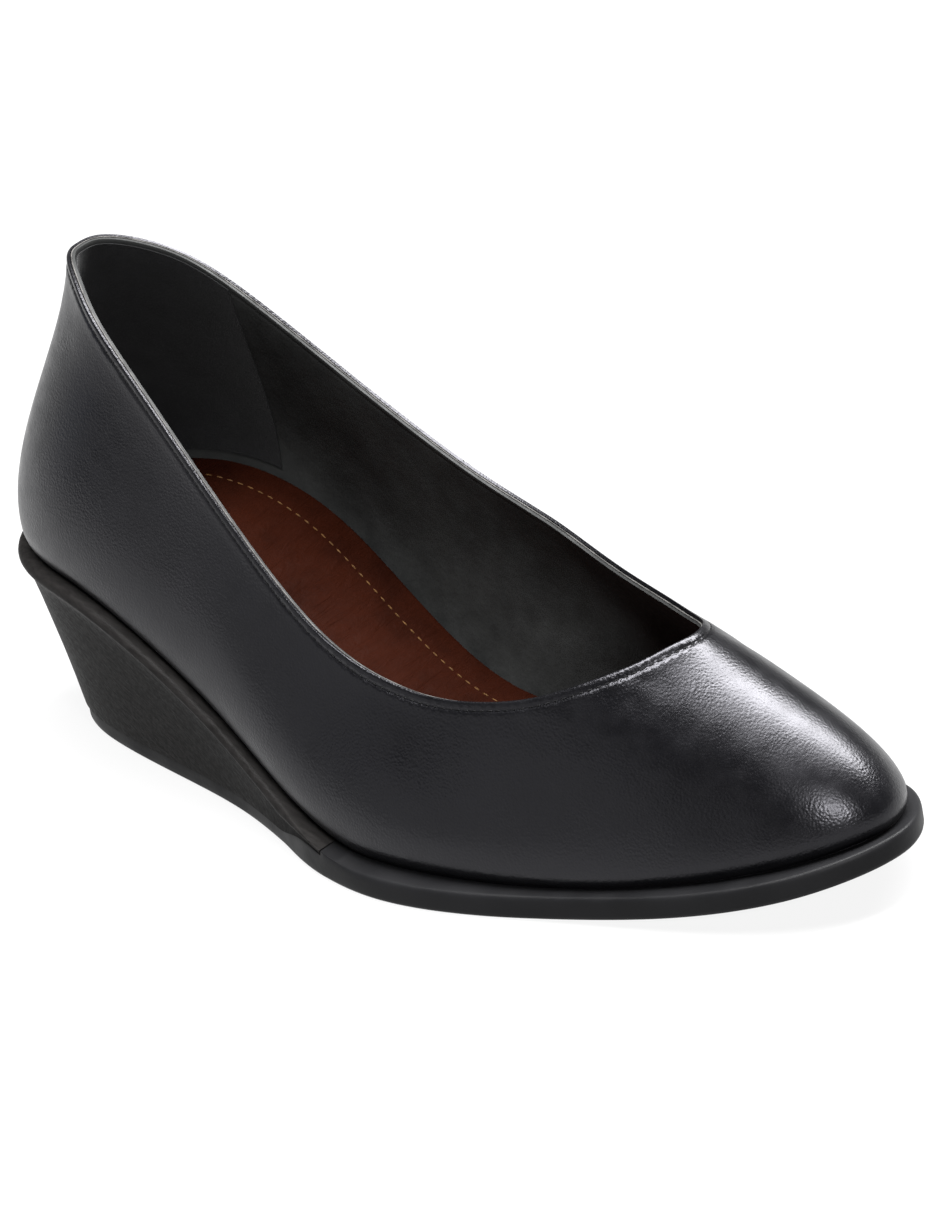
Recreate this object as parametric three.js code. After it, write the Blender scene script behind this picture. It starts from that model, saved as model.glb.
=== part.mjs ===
// A low wedge court shoe for the right foot, in millimetres. +X runs from the heel to the
// toe, +Y to the inner side of the foot, -Y to its outer side and +Z up from the floor.
// The upper, insole, covered wedge and outsole all come from one table of sections of the
// last, so each piece follows its neighbour along the whole foot.

import * as THREE from 'three';

// Driving dimensions.
const LENGTH = 240; // from the back of the heel to the toe, along the last's edge
const BALL_WIDTH = 84; // across the ball, along the last's edge
const HEEL_HEIGHT = 45; // from the floor to the seat under the heel
const INSTEP = 52; // from the seat to the middle of the throat
const TOE_SPRING = 10.5; // how far the tread lifts at the toe
const WALL = 2; // leather and lining together
const INSOLE = 2.8; // thickness of the insole
const SOLE = 6; // from the tread to the last's edge in the forefoot
const TREAD = 4.2; // thickness of the outsole under the wedge
const WELT = 2.7; // how far the outsole stands out past the upper in the forefoot
const LIP = 2.6; // how far the wedge's rim stands out past the upper
const RIM = 3.2; // height of the wedge's rounded rim
const WEDGE_SLANT = 0.23; // how far the wedge leans in for each millimetre down
const RIM_EDGE = 0.8; // how far the rim's edges round in
const UNDERCUT = 1.2; // how far the wedge's side draws in under the rim
const WEDGE_EDGE = 1; // thickness left at the wedge's front edge
const INSOLE_EDGE = 0.8; // how far the insole's top edge rounds in
const SOLE_EDGE = 1; // how far the outsole's top edge rounds in
const TREAD_EDGE = 0.9; // and its bottom edge
const GAP = 0.3; // between pieces that touch

// Where the sole's profile changes, as shares of the length.
const PROFILE = {
  rampTop: 0.1, // the seat is level behind this
  rampFoot: 0.53, // and has come down to the forefoot here
  treadLift: 0.66, // the tread leaves the floor here
  wedgeSkive: 0.4, // the wedge's underside starts to rise here
  wedgeFront: 0.483, // and the wedge ends here
};

// The last, a row for each section from the heel to the toe, in three tables.
// EDGE: foot is where the section meets the last's edge, a share of the length. outer and
// inner are how far that edge lies from the middle line, shares of the ball's width. outerWelt
// and innerWelt are how far sole and rim stand out there, shares of WELT and of LIP.
const EDGE = [
  { foot: 0, outer: 0, inner: 0, outerWelt: 1, innerWelt: 1 },
  { foot: 0.021, outer: -0.185, inner: 0.185, outerWelt: 1, innerWelt: 1 },
  { foot: 0.062, outer: -0.292, inner: 0.292, outerWelt: 1, innerWelt: 1 },
  { foot: 0.129, outer: -0.363, inner: 0.357, outerWelt: 1, innerWelt: 1 },
  { foot: 0.225, outer: -0.405, inner: 0.385, outerWelt: 1, innerWelt: 1 },
  { foot: 0.325, outer: -0.44, inner: 0.343, outerWelt: 1, innerWelt: 1 },
  { foot: 0.412, outer: -0.5, inner: 0.3, outerWelt: 1.15, innerWelt: 1 },
  { foot: 0.483, outer: -0.548, inner: 0.295, outerWelt: 1.6, innerWelt: 1 },
  { foot: 0.554, outer: -0.567, inner: 0.335, outerWelt: 1.95, innerWelt: 1 },
  { foot: 0.633, outer: -0.545, inner: 0.392, outerWelt: 1.7, innerWelt: 1 },
  { foot: 0.708, outer: -0.496, inner: 0.412, outerWelt: 1.25, innerWelt: 1 },
  { foot: 0.783, outer: -0.435, inner: 0.39, outerWelt: 1.15, innerWelt: 1 },
  { foot: 0.854, outer: -0.361, inner: 0.335, outerWelt: 1.5, innerWelt: 1 },
  { foot: 0.917, outer: -0.274, inner: 0.27, outerWelt: 1.8, innerWelt: 1 },
  { foot: 0.967, outer: -0.172, inner: 0.178, outerWelt: 1.6, innerWelt: 1 },
  { foot: 1, outer: 0.003, inner: 0.003, outerWelt: 1.15, innerWelt: 1.15 },
];

// TOPLINE: top is where the section meets the topline, a share of the length. outerTop and
// innerTop are its distances from the middle line, shares of the ball's width. outerRise and
// innerRise are its heights over the seat, shares of the instep.
const TOPLINE = [
  { top: 0.083, outerTop: 0.015, innerTop: 0.015, outerRise: 1.31, innerRise: 1.31 },
  { top: 0.093, outerTop: -0.057, innerTop: 0.087, outerRise: 1.31, innerRise: 1.305 },
  { top: 0.124, outerTop: -0.131, innerTop: 0.157, outerRise: 1.28, innerRise: 1.262 },
  { top: 0.165, outerTop: -0.202, innerTop: 0.224, outerRise: 1.22, innerRise: 1.19 },
  { top: 0.231, outerTop: -0.268, innerTop: 0.28, outerRise: 1.14, innerRise: 1.075 },
  { top: 0.31, outerTop: -0.327, innerTop: 0.31, outerRise: 1.04, innerRise: 1.015 },
  { top: 0.385, outerTop: -0.367, innerTop: 0.318, outerRise: 0.92, innerRise: 1.01 },
  { top: 0.45, outerTop: -0.393, innerTop: 0.315, outerRise: 0.826, innerRise: 1.01 },
  { top: 0.512, outerTop: -0.405, innerTop: 0.304, outerRise: 0.769, innerRise: 0.99 },
  { top: 0.575, outerTop: -0.399, innerTop: 0.277, outerRise: 0.717, innerRise: 0.925 },
  { top: 0.635, outerTop: -0.381, innerTop: 0.244, outerRise: 0.727, innerRise: 0.862 },
  { top: 0.694, outerTop: -0.342, innerTop: 0.202, outerRise: 0.773, innerRise: 0.835 },
  { top: 0.744, outerTop: -0.274, innerTop: 0.146, outerRise: 0.837, innerRise: 0.838 },
  { top: 0.779, outerTop: -0.19, innerTop: 0.087, outerRise: 0.881, innerRise: 0.867 },
  { top: 0.797, outerTop: -0.113, innerTop: 0.027, outerRise: 0.908, innerRise: 0.895 },
  { top: 0.804, outerTop: -0.042, innerTop: -0.042, outerRise: 0.91, innerRise: 0.91 },
];

// FLANK: the wall leaves the last's edge at lean degrees from upright and holds it for the
// share swell of its length. It reaches the topline at pitch degrees from level, which it
// holds for the share reach.
const FLANK = [
  { lean: 14, swell: 0.3, pitch: 82, reach: 0.3 },
  { lean: 14, swell: 0.3, pitch: 82, reach: 0.3 },
  { lean: 14, swell: 0.3, pitch: 82, reach: 0.3 },
  { lean: 15, swell: 0.3, pitch: 81, reach: 0.3 },
  { lean: 16, swell: 0.3, pitch: 80, reach: 0.32 },
  { lean: 18, swell: 0.3, pitch: 80, reach: 0.32 },
  { lean: 20, swell: 0.3, pitch: 78, reach: 0.32 },
  { lean: 20, swell: 0.3, pitch: 74, reach: 0.32 },
  { lean: 20, swell: 0.3, pitch: 68, reach: 0.34 },
  { lean: 18, swell: 0.3, pitch: 63, reach: 0.34 },
  { lean: 15, swell: 0.27, pitch: 58, reach: 0.32 },
  { lean: 9, swell: 0.21, pitch: 53, reach: 0.24 },
  { lean: 6, swell: 0.19, pitch: 47, reach: 0.2 },
  { lean: 5, swell: 0.21, pitch: 42, reach: 0.19 },
  { lean: 7, swell: 0.26, pitch: 42, reach: 0.22 },
  { lean: 7, swell: 0.26, pitch: 40, reach: 0.22 },
];

const SECTIONS = EDGE.map((edge, i) => ({ ...edge, ...TOPLINE[i], ...FLANK[i] }));

// How finely the surfaces are cut.
const STEPS_PER_SECTION = 3;
const OUTER_STEPS = 12; // up the outside of the upper
const INNER_STEPS = 9; // up its inside
const ACROSS = 6; // across the soles and the insole
const SLOPE_STEP = 0.01; // along a curve, to find its slope
const NEAR = 0.1; // sections this near to the wedge's front give way to it

const degrees = Math.PI / 180;
const mix = (a, b, share) => a + (b - a) * share;

/** Goes from 0 to 1 as x goes from start to end, level at both. */
function ease(x, start, end) {
  const share = Math.min(1, Math.max(0, (x - start) / (end - start)));
  return share * share * (3 - 2 * share);
}

/** The height of the tread, which lifts towards the toe. */
function treadHeight(x) {
  const { treadLift } = PROFILE;
  const share = Math.max(0, (x / LENGTH - treadLift) / (1 - treadLift));
  return TOE_SPRING * share * share;
}

/** The height of the last's edge, from the heel seat down the ramp and along to the toe. */
function seatHeight(x) {
  const down = ease(x / LENGTH, PROFILE.rampTop, PROFILE.rampFoot);
  return treadHeight(x) + mix(HEEL_HEIGHT, SOLE, down);
}

/** The top of the outsole where the wedge lies on it. */
function treadTop(x) {
  const up = ease(x / LENGTH, PROFILE.wedgeSkive, PROFILE.wedgeFront);
  return mix(TREAD, seatHeight(x) - WEDGE_EDGE - 2 * GAP, up);
}

/** How high the wedge stands at x, nothing in the forefoot. */
function wedgeHeight(x) {
  return Math.max(0, seatHeight(x) - treadTop(x) - 2 * GAP);
}

/** A smooth closed curve of one number through values at the given knots. */
function closedSpline(knots, period, values) {
  const count = knots.length;
  const spans = knots.map((knot, i) => (knots[i + 1] ?? knots[0] + period) - knot);
  const rows = values.map((value, i) => {
    const before = (i + count - 1) % count;
    const after = (i + 1) % count;
    const row = new Array(count + 1).fill(0);
    row[before] += spans[before];
    row[i] += 2 * (spans[before] + spans[i]);
    row[after] += spans[i];
    row[count] = 6 * ((values[after] - value) / spans[i] - (value - values[before]) / spans[before]);
    return row;
  });
  for (let i = 0; i < count; i += 1) {
    for (let below = i + 1; below < count; below += 1) {
      const factor = rows[below][i] / rows[i][i];
      for (let column = i; column <= count; column += 1) {
        rows[below][column] -= factor * rows[i][column];
      }
    }
  }
  const bends = new Array(count).fill(0);
  for (let i = count - 1; i >= 0; i -= 1) {
    let rest = rows[i][count];
    for (let column = i + 1; column < count; column += 1) {
      rest -= rows[i][column] * bends[column];
    }
    bends[i] = rest / rows[i][i];
  }
  return (at) => {
    const wrapped = ((at % period) + period) % period;
    let i = count - 1;
    while (i > 0 && knots[i] > wrapped) {
      i -= 1;
    }
    const after = (i + 1) % count;
    const span = spans[i];
    const a = wrapped - knots[i];
    const b = span - a;
    return (bends[i] * b ** 3 + bends[after] * a ** 3) / (6 * span)
      + (values[i] / span - (bends[i] * span) / 6) * b
      + (values[after] / span - (bends[after] * span) / 6) * a;
  };
}

/** The last as a closed loop: toe, outer side, heel, inner side, and back to the toe. */
class Last {
  constructor(sections) {
    this.sections = sections.length;
    const towardHeel = [...sections].reverse();
    const row = (section, side) => ({
      foot: section.foot * LENGTH,
      side: section[side] * BALL_WIDTH,
      top: section.top * LENGTH,
      sideTop: section[`${side}Top`] * BALL_WIDTH,
      rise: section[`${side}Rise`] * INSTEP,
      lean: section.lean * degrees,
      swell: section.swell,
      pitch: section.pitch * degrees,
      reach: section.reach,
      welt: section[`${side}Welt`],
    });
    const loop = [
      ...towardHeel.map((section) => row(section, 'outer')),
      ...sections.slice(1, -1).map((section) => row(section, 'inner')),
    ];
    this.knots = [0];
    for (let i = 1; i <= loop.length; i += 1) {
      const here = loop[i % loop.length];
      const last = loop[i - 1];
      const chord = Math.hypot(here.foot - last.foot, here.side - last.side);
      this.knots.push(this.knots[i - 1] + Math.sqrt(chord));
    }
    this.period = this.knots.pop();
    this.curves = {};
    for (const column of Object.keys(loop[0])) {
      const values = loop.map((entry) => entry[column]);
      this.curves[column] = closedSpline(this.knots, this.period, values);
    }
  }

  /** Section numbers counted from the toe, in even steps from the toe to the heel. */
  numbers() {
    const count = (this.sections - 1) * STEPS_PER_SECTION + 1;
    return Array.from({ length: count }, (_, step) => step / STEPS_PER_SECTION);
  }

  /** The section number of a share of the length, and how much of it a gap takes up. */
  numberAt(share) {
    const fromToe = [...EDGE].reverse();
    const i = fromToe.findIndex((section, k) => k > 0 && section.foot <= share);
    const span = fromToe[i - 1].foot - fromToe[i].foot;
    return { number: i - (share - fromToe[i].foot) / span, gap: GAP / (span * LENGTH) };
  }

  /** The positions of section numbers, counted from the toe, out along one side and back. */
  loopAt(numbers) {
    const heel = this.sections - 1;
    const knotAt = (number) => {
      const i = Math.floor(number);
      const next = this.knots[i + 1] ?? this.period;
      return mix(this.knots[i], next, number - i);
    };
    const outward = numbers.map((number) => knotAt(number));
    const back = numbers
      .filter((number) => number > 0 && number < heel)
      .reverse()
      .map((number) => knotAt(2 * heel - number));
    return [...outward, ...back];
  }

  /** The outward level normal of a plan curve given by its x and y splines. */
  normal(xCurve, yCurve, at) {
    const dx = xCurve(at + SLOPE_STEP) - xCurve(at - SLOPE_STEP);
    const dy = yCurve(at + SLOPE_STEP) - yCurve(at - SLOPE_STEP);
    return new THREE.Vector3(dy, -dx, 0).normalize();
  }

  /** A point beside the last's edge, out by the given distance, at the height of the seat. */
  edge(at, out = 0) {
    const { foot, side } = this.curves;
    const point = this.normal(foot, side, at).multiplyScalar(-out);
    point.x += foot(at);
    point.y += side(at);
    point.z = seatHeight(point.x);
    return point;
  }

  /** A point of the topline. */
  collar(at) {
    const { top, sideTop, rise } = this.curves;
    return new THREE.Vector3(top(at), sideTop(at), seatHeight(top(at)) + rise(at));
  }

  /** A point of the upper's outside, from the last's edge at 0 up to the topline at 1. */
  outside(at, up) {
    const { foot, side, top, sideTop, lean, swell, pitch, reach } = this.curves;
    const start = this.edge(at);
    const end = this.collar(at);
    const wall = start.distanceTo(end);
    const leave = this.normal(foot, side, at).multiplyScalar(-Math.sin(lean(at)));
    leave.z = Math.cos(lean(at));
    const arrive = this.normal(top, sideTop, at).multiplyScalar(-Math.cos(pitch(at)));
    arrive.z = -Math.sin(pitch(at));
    const curve = new THREE.CubicBezierCurve3(
      start,
      start.clone().addScaledVector(leave, wall * swell(at)),
      end.clone().addScaledVector(arrive, wall * reach(at)),
      end,
    );
    return curve.getPoint(up);
  }

  /** A point of the upper's inside, a wall's thickness in from the outside. */
  inside(at, up) {
    if (up === 0) {
      return this.edge(at, -WALL);
    }
    const along = this.outside(at + SLOPE_STEP, up).sub(this.outside(at - SLOPE_STEP, up));
    const rising = this.outside(at, up).sub(this.outside(at, up - SLOPE_STEP));
    const normal = rising.cross(along).normalize();
    return this.outside(at, up).addScaledVector(normal, -WALL);
  }
}

/** A closed body gathered from rings of points and the faces between them. */
class Body {
  constructor() {
    this.points = [];
    this.faces = [];
  }

  ring(points) {
    const first = this.points.length;
    this.points.push(...points);
    return points.map((point, i) => first + i);
  }

  quad(a, b, c, d) {
    this.faces.push(a, b, c, a, c, d);
  }

  /** Faces between two rows of points, facing out when the second lies above a loop. */
  band(low, high, closed = true) {
    const count = low.length;
    for (let i = 0; i < (closed ? count : count - 1); i += 1) {
      const next = (i + 1) % count;
      this.quad(low[i], high[i], high[next], low[next]);
    }
  }

  /** Rungs across a ring from its outer side to its inner side, each from the toe end on. */
  rungs(ring, closed, height) {
    const heel = closed ? ring.length / 2 : (ring.length - 1) / 2;
    const rows = [];
    for (let i = closed ? 1 : 0; i < heel; i += 1) {
      const from = ring[i];
      const to = ring[closed ? ring.length - i : ring.length - 1 - i];
      rows.push(this.rung(from, to, (x) => height(x, i)));
    }
    return { rows, heel: ring[heel] };
  }

  rung(from, to, height) {
    const between = [];
    for (let step = 1; step < ACROSS; step += 1) {
      const point = this.points[from].clone().lerp(this.points[to], step / ACROSS);
      point.z = height ? height(point.x) : point.z;
      between.push(point);
    }
    return [from, ...this.ring(between), to];
  }

  /** Closes a ring with a face across it, facing up or down. */
  cover(ring, height, facesUp, closed = true) {
    const { rows, heel } = this.rungs(ring, closed, height);
    const turn = (a, b, c) => this.faces.push(...(facesUp ? [a, c, b] : [a, b, c]));
    if (closed) {
      for (let step = 0; step < ACROSS; step += 1) {
        turn(ring[0], rows[0][step], rows[0][step + 1]);
      }
    }
    for (let i = 0; i + 1 < rows.length; i += 1) {
      for (let step = 0; step < ACROSS; step += 1) {
        turn(rows[i][step], rows[i + 1][step], rows[i + 1][step + 1]);
        turn(rows[i][step], rows[i + 1][step + 1], rows[i][step + 1]);
      }
    }
    const end = rows[rows.length - 1];
    for (let step = 0; step < ACROSS; step += 1) {
      turn(end[step], heel, end[step + 1]);
    }
    return rows[0];
  }

  mesh(name, colour, roughness) {
    const geometry = new THREE.BufferGeometry();
    const flat = this.points.flatMap((point) => [point.x, point.y, point.z]);
    geometry.setAttribute('position', new THREE.Float32BufferAttribute(flat, 3));
    geometry.setIndex(this.faces);
    geometry.computeVertexNormals();
    const material = new THREE.MeshStandardMaterial({ color: colour, roughness, metalness: 0 });
    const mesh = new THREE.Mesh(geometry, material);
    mesh.name = name;
    return mesh;
  }
}

const last = new Last(SECTIONS);

/** The upper: one leather wall round the foot, open at the topline and underneath. */
function makeUpper() {
  const body = new Body();
  const loop = last.loopAt(last.numbers());
  const outside = [];
  for (let step = 0; step <= OUTER_STEPS; step += 1) {
    outside.push(body.ring(loop.map((at) => last.outside(at, step / OUTER_STEPS))));
  }
  const inside = [];
  for (let step = 0; step <= INNER_STEPS; step += 1) {
    inside.push(body.ring(loop.map((at) => last.inside(at, step / INNER_STEPS))));
  }
  outside.slice(1).forEach((ring, i) => body.band(outside[i], ring));
  inside.slice(1).forEach((ring, i) => body.band(ring, inside[i]));
  body.band(outside[OUTER_STEPS], inside[INNER_STEPS]);
  body.band(inside[0], outside[0]);
  return body.mesh('upper', 0x15161a, 0.38);
}

/** The insole, which lies on the seat inside the upper. */
function makeInsole() {
  const body = new Body();
  const loop = last.loopAt(last.numbers());
  const ringAt = (height, out) => body.ring(loop.map((at) => {
    const point = last.edge(at, out);
    point.z += height;
    return point;
  }));
  const out = -WALL - GAP;
  const low = ringAt(0, out);
  const high = ringAt(INSOLE - INSOLE_EDGE, out);
  const top = ringAt(INSOLE, out - INSOLE_EDGE);
  body.band(low, high);
  body.band(high, top);
  body.cover(top, (x) => seatHeight(x) + INSOLE, true);
  body.cover(low, seatHeight, false);
  return body.mesh('insole', 0x5a2f22, 0.55);
}

/** The covered wedge, from its rounded rim under the upper down to the outsole. */
function makeWedge() {
  const body = new Body();
  const front = last.numberAt(PROFILE.wedgeFront).number;
  const behind = last.numbers().filter((number) => number > front + NEAR);
  const loop = last.loopAt([front, ...behind]);
  const levels = [
    { rim: 0, down: 0, inward: RIM_EDGE },
    { rim: 0.25, down: 0, inward: 0 },
    { rim: 0.75, down: 0, inward: 0 },
    { rim: 1, down: 0, inward: RIM_EDGE },
    { rim: 1, down: 0.25, inward: UNDERCUT },
    { rim: 1, down: 0.6, inward: 0.75 * UNDERCUT },
    { rim: 1, down: 1, inward: 0 },
  ];
  const rings = levels.map(({ rim, down, inward }) => body.ring(loop.map((at) => {
    const height = wedgeHeight(last.edge(at).x);
    const rimHeight = Math.min(RIM, height / 2);
    const drop = mix(rimHeight * rim, height, down);
    const slant = WEDGE_SLANT * Math.max(0, drop - rimHeight);
    const soften = Math.min(1, height / (2 * RIM));
    const lip = LIP * last.curves.welt(at);
    const point = last.edge(at, lip - slant - inward * soften);
    point.z = mix(seatHeight(point.x) - GAP, treadTop(point.x) + GAP, drop / height);
    return point;
  })));
  rings.slice(1).forEach((ring, i) => body.band(ring, rings[i], false));
  const rows = rings.slice(1, -1).map((ring) => body.rung(ring[0], ring[ring.length - 1]));
  rows.unshift(body.cover(rings[0], (x) => seatHeight(x) - GAP, true, false));
  rows.push(body.cover(rings[rings.length - 1], (x) => treadTop(x) + GAP, false, false));
  rows.slice(1).forEach((row, i) => body.band(rows[i], row, false));
  return body.mesh('wedge', 0x1d1714, 0.5);
}

/** The outsole, thin under the wedge and full thickness in the forefoot. */
function makeOutsole() {
  const body = new Body();
  const { number, gap } = last.numberAt(PROFILE.wedgeFront);
  const ahead = last.numbers().filter((other) => other < number - 2 * gap - NEAR);
  const behind = last.numbers().filter((other) => other > number + NEAR);
  const loop = last.loopAt([...ahead, number - 2 * gap, number - gap, ...behind]);
  const isUnderWedge = (i) => i > ahead.length && i < loop.length - ahead.length;
  const levels = [
    { down: 0, inward: SOLE_EDGE },
    { down: 0.12, inward: SOLE_EDGE / 4 },
    { down: 0.3, inward: 0 },
    { down: 0.8, inward: 0 },
    { down: 1, inward: TREAD_EDGE },
  ];
  const rings = levels.map(({ down, inward }) => body.ring(loop.map((at, i) => {
    const edge = last.edge(at);
    const spread = WELT * last.curves.welt(at) - WEDGE_SLANT * wedgeHeight(edge.x);
    const point = last.edge(at, spread - inward);
    const top = isUnderWedge(i) ? treadTop(point.x) : seatHeight(point.x) - GAP;
    point.z = mix(top, treadHeight(point.x), down);
    return point;
  })));
  rings.slice(1).forEach((ring, i) => body.band(ring, rings[i]));
  const top = (x, i) => (isUnderWedge(i) ? treadTop(x) : seatHeight(x) - GAP);
  body.cover(rings[0], top, true);
  body.cover(rings[rings.length - 1], treadHeight, false);
  return body.mesh('outsole', 0x17181a, 0.7);
}

const shoe = new THREE.Group();
shoe.name = 'court_shoe';
shoe.add(makeUpper(), makeInsole(), makeWedge(), makeOutsole());

// The origin is on the floor, in the middle of the shoe's box.
const box = new THREE.Box3().setFromObject(shoe);
const middle = box.getCenter(new THREE.Vector3());
for (const piece of shoe.children) {
  piece.geometry.translate(-middle.x, -middle.y, -box.min.z);
}

export default shoe;
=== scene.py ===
"""A low wedge court shoe for the right foot, dressed for its picture.

The leather, lining, insole, wedge and outsole are swept round the same last as the part's
solids, then stitched, creased and given their materials.
"""

import logging
import math
from dataclasses import dataclass
from enum import Enum

import bmesh
import bpy
import numpy as np
from mathutils import Matrix, Vector


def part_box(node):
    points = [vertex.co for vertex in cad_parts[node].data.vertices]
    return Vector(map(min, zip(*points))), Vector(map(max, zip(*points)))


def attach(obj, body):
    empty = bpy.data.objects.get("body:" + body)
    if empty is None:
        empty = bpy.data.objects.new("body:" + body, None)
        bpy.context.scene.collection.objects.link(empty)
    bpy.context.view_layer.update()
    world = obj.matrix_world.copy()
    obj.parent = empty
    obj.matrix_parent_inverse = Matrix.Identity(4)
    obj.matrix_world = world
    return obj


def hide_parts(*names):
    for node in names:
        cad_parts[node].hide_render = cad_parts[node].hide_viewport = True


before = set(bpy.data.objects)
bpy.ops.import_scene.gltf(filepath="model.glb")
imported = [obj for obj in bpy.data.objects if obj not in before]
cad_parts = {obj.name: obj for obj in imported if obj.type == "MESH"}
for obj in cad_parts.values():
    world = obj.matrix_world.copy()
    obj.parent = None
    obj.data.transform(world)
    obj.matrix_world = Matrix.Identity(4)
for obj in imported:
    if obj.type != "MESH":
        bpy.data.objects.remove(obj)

log = logging.getLogger("court_shoe")

MILLIMETRE = 0.001
GAP = 0.3


class Side(Enum):
    """A side of the foot."""

    OUTER = "outer"
    INNER = "inner"


@dataclass(frozen=True)
class Edge:
    """Where a section meets the last's edge, in shares of the length and the ball's width.

    The welts are how far sole and rim stand out there, as shares of their plain overhangs.
    """

    foot: float
    outer: float
    inner: float
    outer_welt: float
    inner_welt: float


@dataclass(frozen=True)
class Topline:
    """Where a section meets the topline, in shares of the length, ball's width and instep."""

    top: float
    outer: float
    inner: float
    outer_rise: float
    inner_rise: float


@dataclass(frozen=True)
class Flank:
    """How a section's wall leaves the last's edge and reaches the topline."""

    lean: float
    swell: float
    pitch: float
    reach: float


@dataclass(frozen=True)
class Section:
    """One section of the last, from its edge to its topline."""

    edge: Edge
    topline: Topline
    flank: Flank


SECTIONS = (
    Section(
        Edge(0, 0, 0, 1, 1),
        Topline(0.083, 0.015, 0.015, 1.31, 1.31),
        Flank(14, 0.3, 82, 0.3),
    ),
    Section(
        Edge(0.021, -0.185, 0.185, 1, 1),
        Topline(0.093, -0.057, 0.087, 1.31, 1.305),
        Flank(14, 0.3, 82, 0.3),
    ),
    Section(
        Edge(0.062, -0.292, 0.292, 1, 1),
        Topline(0.124, -0.131, 0.157, 1.28, 1.262),
        Flank(14, 0.3, 82, 0.3),
    ),
    Section(
        Edge(0.129, -0.363, 0.357, 1, 1),
        Topline(0.165, -0.202, 0.224, 1.22, 1.19),
        Flank(15, 0.3, 81, 0.3),
    ),
    Section(
        Edge(0.225, -0.405, 0.385, 1, 1),
        Topline(0.231, -0.268, 0.28, 1.14, 1.075),
        Flank(16, 0.3, 80, 0.32),
    ),
    Section(
        Edge(0.325, -0.44, 0.343, 1, 1),
        Topline(0.31, -0.327, 0.31, 1.04, 1.015),
        Flank(18, 0.3, 80, 0.32),
    ),
    Section(
        Edge(0.412, -0.5, 0.3, 1.15, 1),
        Topline(0.385, -0.367, 0.318, 0.92, 1.01),
        Flank(20, 0.3, 78, 0.32),
    ),
    Section(
        Edge(0.483, -0.548, 0.295, 1.6, 1),
        Topline(0.45, -0.393, 0.315, 0.826, 1.01),
        Flank(20, 0.3, 74, 0.32),
    ),
    Section(
        Edge(0.554, -0.567, 0.335, 1.95, 1),
        Topline(0.512, -0.405, 0.304, 0.769, 0.99),
        Flank(20, 0.3, 68, 0.34),
    ),
    Section(
        Edge(0.633, -0.545, 0.392, 1.7, 1),
        Topline(0.575, -0.399, 0.277, 0.717, 0.925),
        Flank(18, 0.3, 63, 0.34),
    ),
    Section(
        Edge(0.708, -0.496, 0.412, 1.25, 1),
        Topline(0.635, -0.381, 0.244, 0.727, 0.862),
        Flank(15, 0.27, 58, 0.32),
    ),
    Section(
        Edge(0.783, -0.435, 0.39, 1.15, 1),
        Topline(0.694, -0.342, 0.202, 0.773, 0.835),
        Flank(9, 0.21, 53, 0.24),
    ),
    Section(
        Edge(0.854, -0.361, 0.335, 1.5, 1),
        Topline(0.744, -0.274, 0.146, 0.837, 0.838),
        Flank(6, 0.19, 47, 0.2),
    ),
    Section(
        Edge(0.917, -0.274, 0.27, 1.8, 1),
        Topline(0.779, -0.19, 0.087, 0.881, 0.867),
        Flank(5, 0.21, 42, 0.19),
    ),
    Section(
        Edge(0.967, -0.172, 0.178, 1.6, 1),
        Topline(0.797, -0.113, 0.027, 0.908, 0.895),
        Flank(7, 0.26, 42, 0.22),
    ),
    Section(
        Edge(1, 0.003, 0.003, 1.15, 1.15),
        Topline(0.804, -0.042, -0.042, 0.91, 0.91),
        Flank(7, 0.26, 40, 0.22),
    ),
)


class ClosedCurve:
    """A smooth closed curve of one number through values at given knots."""

    def __init__(self, knots: np.ndarray, period: float, values: np.ndarray) -> None:
        """Solves the curve's bends.

        Args:
            knots: Where the values lie, rising from 0.
            period: Where the curve closes on its first value.
            values: The value at each knot.
        """
        count = len(knots)
        self.knots = np.append(knots, period)
        self.period = period
        self.values = values
        self.spans = np.diff(self.knots)
        system = np.zeros((count, count))
        change = np.zeros(count)
        for i in range(count):
            before = (i - 1) % count
            after = (i + 1) % count
            system[i, before] += self.spans[before]
            system[i, i] += 2 * (self.spans[before] + self.spans[i])
            system[i, after] += self.spans[i]
            rise_after = (values[after] - values[i]) / self.spans[i]
            rise_before = (values[i] - values[before]) / self.spans[before]
            change[i] = 6 * (rise_after - rise_before)
        self.bends = np.linalg.solve(system, change)

    def __call__(self, at: np.ndarray) -> np.ndarray:
        """Returns the curve's values at the given places."""
        wrapped = np.mod(at, self.period)
        i = np.clip(np.searchsorted(self.knots, wrapped, side="right") - 1, 0, len(self.values) - 1)
        after = (i + 1) % len(self.values)
        span = self.spans[i]
        a = wrapped - self.knots[i]
        b = span - a
        bend = (self.bends[i] * b**3 + self.bends[after] * a**3) / (6 * span)
        near = (self.values[i] / span - self.bends[i] * span / 6) * b
        far = (self.values[after] / span - self.bends[after] * span / 6) * a
        return bend + near + far


def ease(x: np.ndarray, start: float, end: float) -> np.ndarray:
    """Goes from 0 to 1 as x goes from start to end, level at both."""
    share = np.clip((x - start) / (end - start), 0, 1)
    return share * share * (3 - 2 * share)


def hump(distance: np.ndarray, width: float) -> np.ndarray:
    """Returns 1 at no distance, falling softly to nothing a few widths away."""
    return np.exp(-((distance / width) ** 2))


def unit(vectors: np.ndarray) -> np.ndarray:
    """Returns the vectors at length 1."""
    return vectors / np.linalg.norm(vectors, axis=-1, keepdims=True)


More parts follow.
